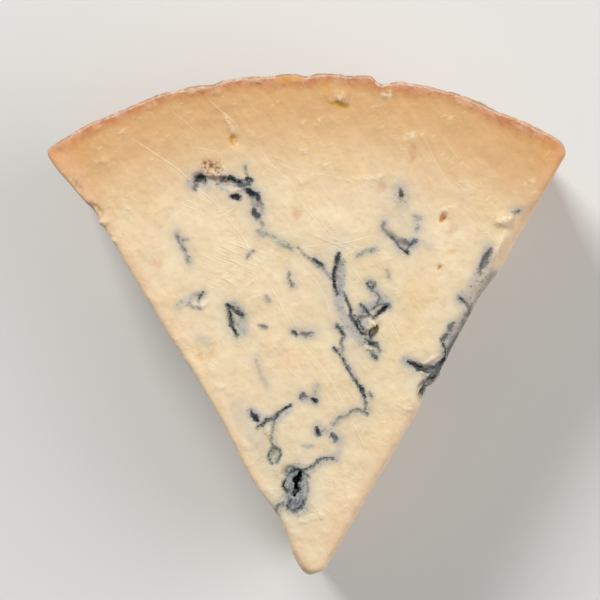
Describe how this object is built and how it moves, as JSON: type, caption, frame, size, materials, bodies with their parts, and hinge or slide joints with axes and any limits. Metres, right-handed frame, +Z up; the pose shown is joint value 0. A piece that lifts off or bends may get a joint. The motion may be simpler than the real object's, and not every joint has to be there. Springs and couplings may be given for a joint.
{
  "type": "stilton wedge",
  "caption": "Wedge of blue-veined drum cheese lying on a cut face, with a worn top edge, open veins of mould and a crusted, curved rind.",
  "frame": {"origin": "middle of the bounding box on the cut face the wedge rests on", "axes": "+Z up, out of the cut top face; +Y towards the rind, with the wedge's point towards -Y; +X to the right with the point towards the viewer"},
  "size_m": [0.1032, 0.1, 0.0471],
  "materials": {
    "paste": "moist, waxy cheese paste with a soft satin sheen"
  },
  "bodies": {
    "root": {"cheese_wedge": "paste"}
  },
  "joints": []
}
